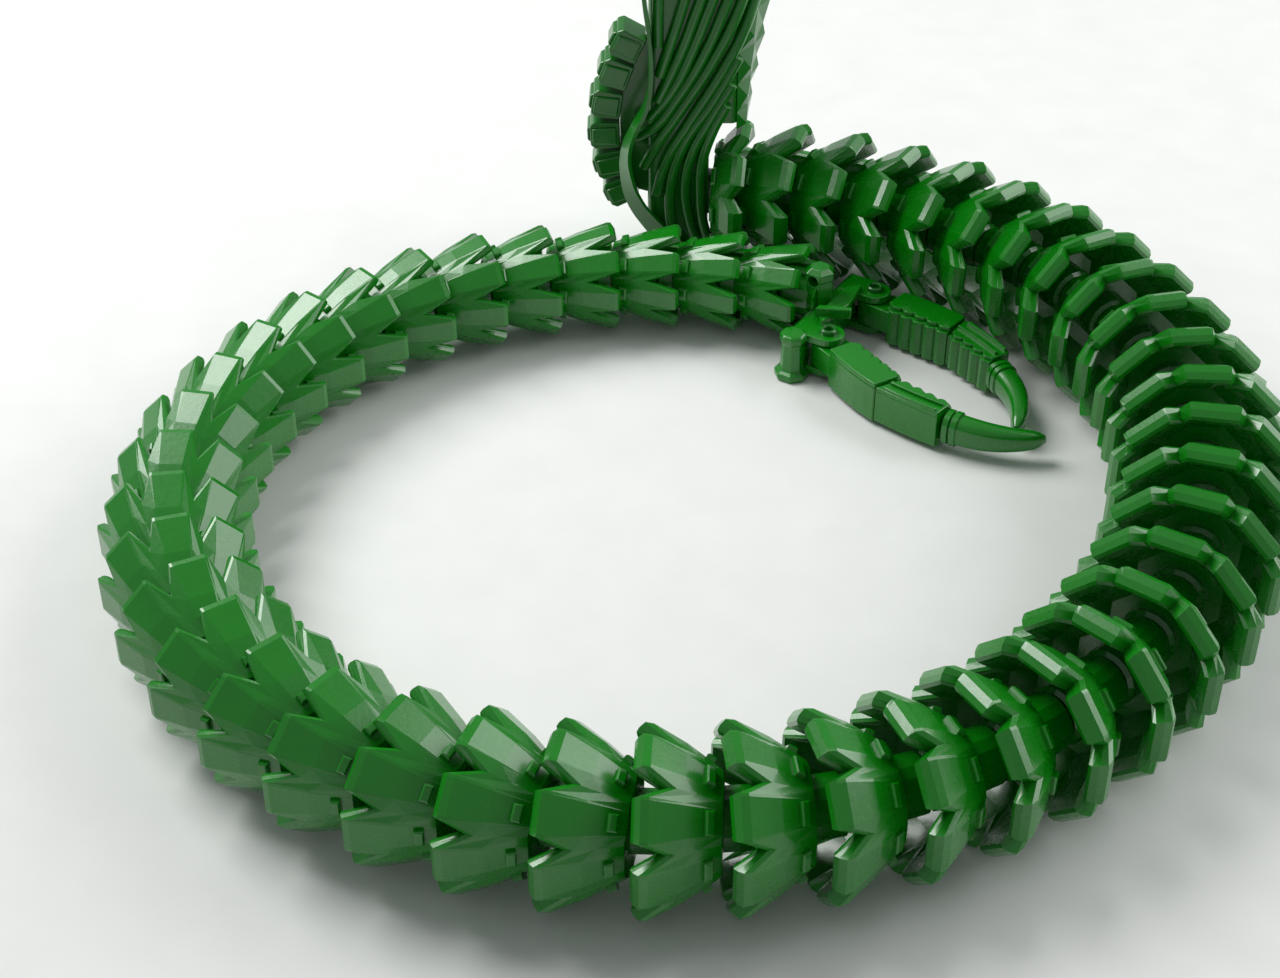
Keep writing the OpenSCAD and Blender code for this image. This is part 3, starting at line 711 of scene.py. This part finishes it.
for name, side in (("near", -1), ("far", 1)):
    pin = near_pin if side < 0 else far_pin
    root_place = (Matrix.Translation(Vector((pin.x, pin.y, 0)))
                  @ Matrix.Rotation(heading + swings[name], 4, "Z")
                  @ Matrix.Diagonal((1, -side, 1, 1)))
    mid_place = (root_place @ Matrix.Translation((root_len * mm, 0, 0))
                 @ Matrix.Rotation(jaw_bend, 4, "Z"))
    horn_place = (mid_place @ Matrix.Translation((mid_len * mm, 0, 0))
                  @ Matrix.Rotation(collar_bend, 4, "Z"))
    body = name + "_jaw"

    def in_root(p, at=root_place):
        return at @ p

    def in_mid(p, at=mid_place):
        return at @ p

    w = jaw_w / 2
    z0, z1 = jaw_z, jaw_z + jaw_h
    bm = bmesh.new()
    knuckle = [(knuckle_r * cos(radians(t)), knuckle_r * sin(radians(t))) for t in range(90, 271, 15)]
    prism(bm, knuckle + [(8, -knuckle_r), (8, knuckle_r)], z0 + ear_t + 0.3, z1 - ear_t - 0.3, in_root)
    outer = bowed([(x, -w) for x in (6.4, 10, 14, 18, 22, root_len)], 0.7, 6.4, root_len)
    teeth = []
    for i in range(5):
        x = root_len - 0.4 - i * 3.7
        teeth += [(x, w + 0.1), (x - 1.5, w + 0.75), (x - 2.5, w + 0.6), (x - 3.2, w - 0.5)]
    prism(bm, outer + [(root_len, w)] + teeth + [(6.4, w - 0.6)], z0, z1 - 1.2, in_root)
    inset = [(x, y - 1.0) for x, y in teeth]
    prism(bm, outer + [(root_len, w - 1)] + inset + [(6.4, w - 1.4)], z1 - 1.3, z1, in_root)
    for y, bulge in ((-w + 0.1, 0.7), (-0.7, 0.5)):
        xs = [7.2, 11, 15, 19, root_len - 0.6]
        line = bowed([(x, y) for x in xs], bulge, 6.4, root_len)
        back = bowed([(x, y + 1.3) for x in xs[::-1]], bulge, 6.4, root_len)
        prism(bm, line + back, z1 - 0.2, z1 + 1.1, in_root)
    cut_hole(bm, in_root(Vector((0, 0, -1)) * mm), in_root(Vector((0, 0, 20)) * mm), 2.15 * mm)
    piece(body + "_root_shell", bm, shell_abs, body, (body + "_root",), bevel=0.3)

    bm = bmesh.new()
    w = jaw_w / 2 - 0.4
    lean = tan(jaw_bend) * w
    z1 = jaw_z + jaw_h - 0.8
    outer = bowed([(x, -w + 0.3 * x / mid_len) for x in (0.2 - lean, 4, 8, 12, mid_len)], 0.4, 0, mid_len)
    teeth = []
    for i in range(4):
        x = mid_len - 0.6 - i * 3.7
        y = w - 0.8 + 0.2 * i
        teeth += [(x, y), (x - 1.4, y + 0.7), (x - 2.4, y + 0.6), (x - 3.2, y - 0.4)]
    prism(bm, outer + [(mid_len, w - 1.0)] + teeth + [(0.2 + lean, w)], z0 + 0.4, z1 - 1.0, in_mid)
    inset = [(x, y - 0.9) for x, y in teeth]
    prism(bm, outer + [(mid_len, w - 1.8)] + inset + [(0.5 + lean, w - 1)], z1 - 1.1, z1, in_mid)
    for y, bulge in ((-w + 0.2, 0.4), (-0.6, 0.3)):
        xs = [1.0, 5, 9, 13, mid_len - 0.8]
        line = bowed([(x, y + 0.02 * x) for x in xs], bulge, 0, mid_len)
        back = bowed([(x, y + 1.1) for x in xs[::-1]], bulge, 0, mid_len)
        prism(bm, line + back, z1 - 0.2, z1 + 0.8, in_mid)
    piece(body + "_mid_shell", bm, shell_abs, body, (body + "_mid",), bevel=0.3)

    bm = bmesh.new()
    half_w, half_h, mid_z = 3.1, 3.9, jaw_z + 1.2 + 3.9
    band_x = [0.75, 2.15, 2.3, 2.65, 2.75, 4.15]
    band_grow = [0.35, 0.35, -0.3, -0.3, 0.35, 0.35]
    bow = horn_len / horn_turn

    def loop(at, hw, hh, z, n=24, power=0.72):
        # soft-cornered loop across the horn
        ring = []
        for i in range(n):
            a = 2 * pi * i / n
            c, s = cos(a), sin(a)
            ring.append(at @ (Vector((0, hw * abs(c) ** power * (1 if c > 0 else -1),
                                      z + hh * abs(s) ** power * (1 if s > 0 else -1))) * mm))
        return ring

    rings = []
    for x, grow in zip(band_x, band_grow):
        at = horn_place @ Matrix.Translation((x * mm, 0, 0))
        rings.append(loop(at, half_w + grow, half_h + grow, mid_z))
    steps = 14
    for i in range(steps + 1):
        t = i / steps
        a = horn_turn * t
        taper = 1 - 0.5 * t ** 1.6
        if i == steps:
            taper *= 0.45
        elif i == steps - 1:
            taper *= 0.84
        at = (horn_place @ Matrix.Translation(((4.3 + bow * sin(a)) * mm, bow * (1 - cos(a)) * mm, 0))
              @ Matrix.Rotation(a, 4, "Z"))
        rings.append(loop(at, half_w * taper, half_h * (taper * 0.9 + 0.06), mid_z - 0.5 * t))
    add_lofted(bm, rings)
    piece(body + "_horn", bm, shell_abs, body, (body + "_fang",), smooth=True)
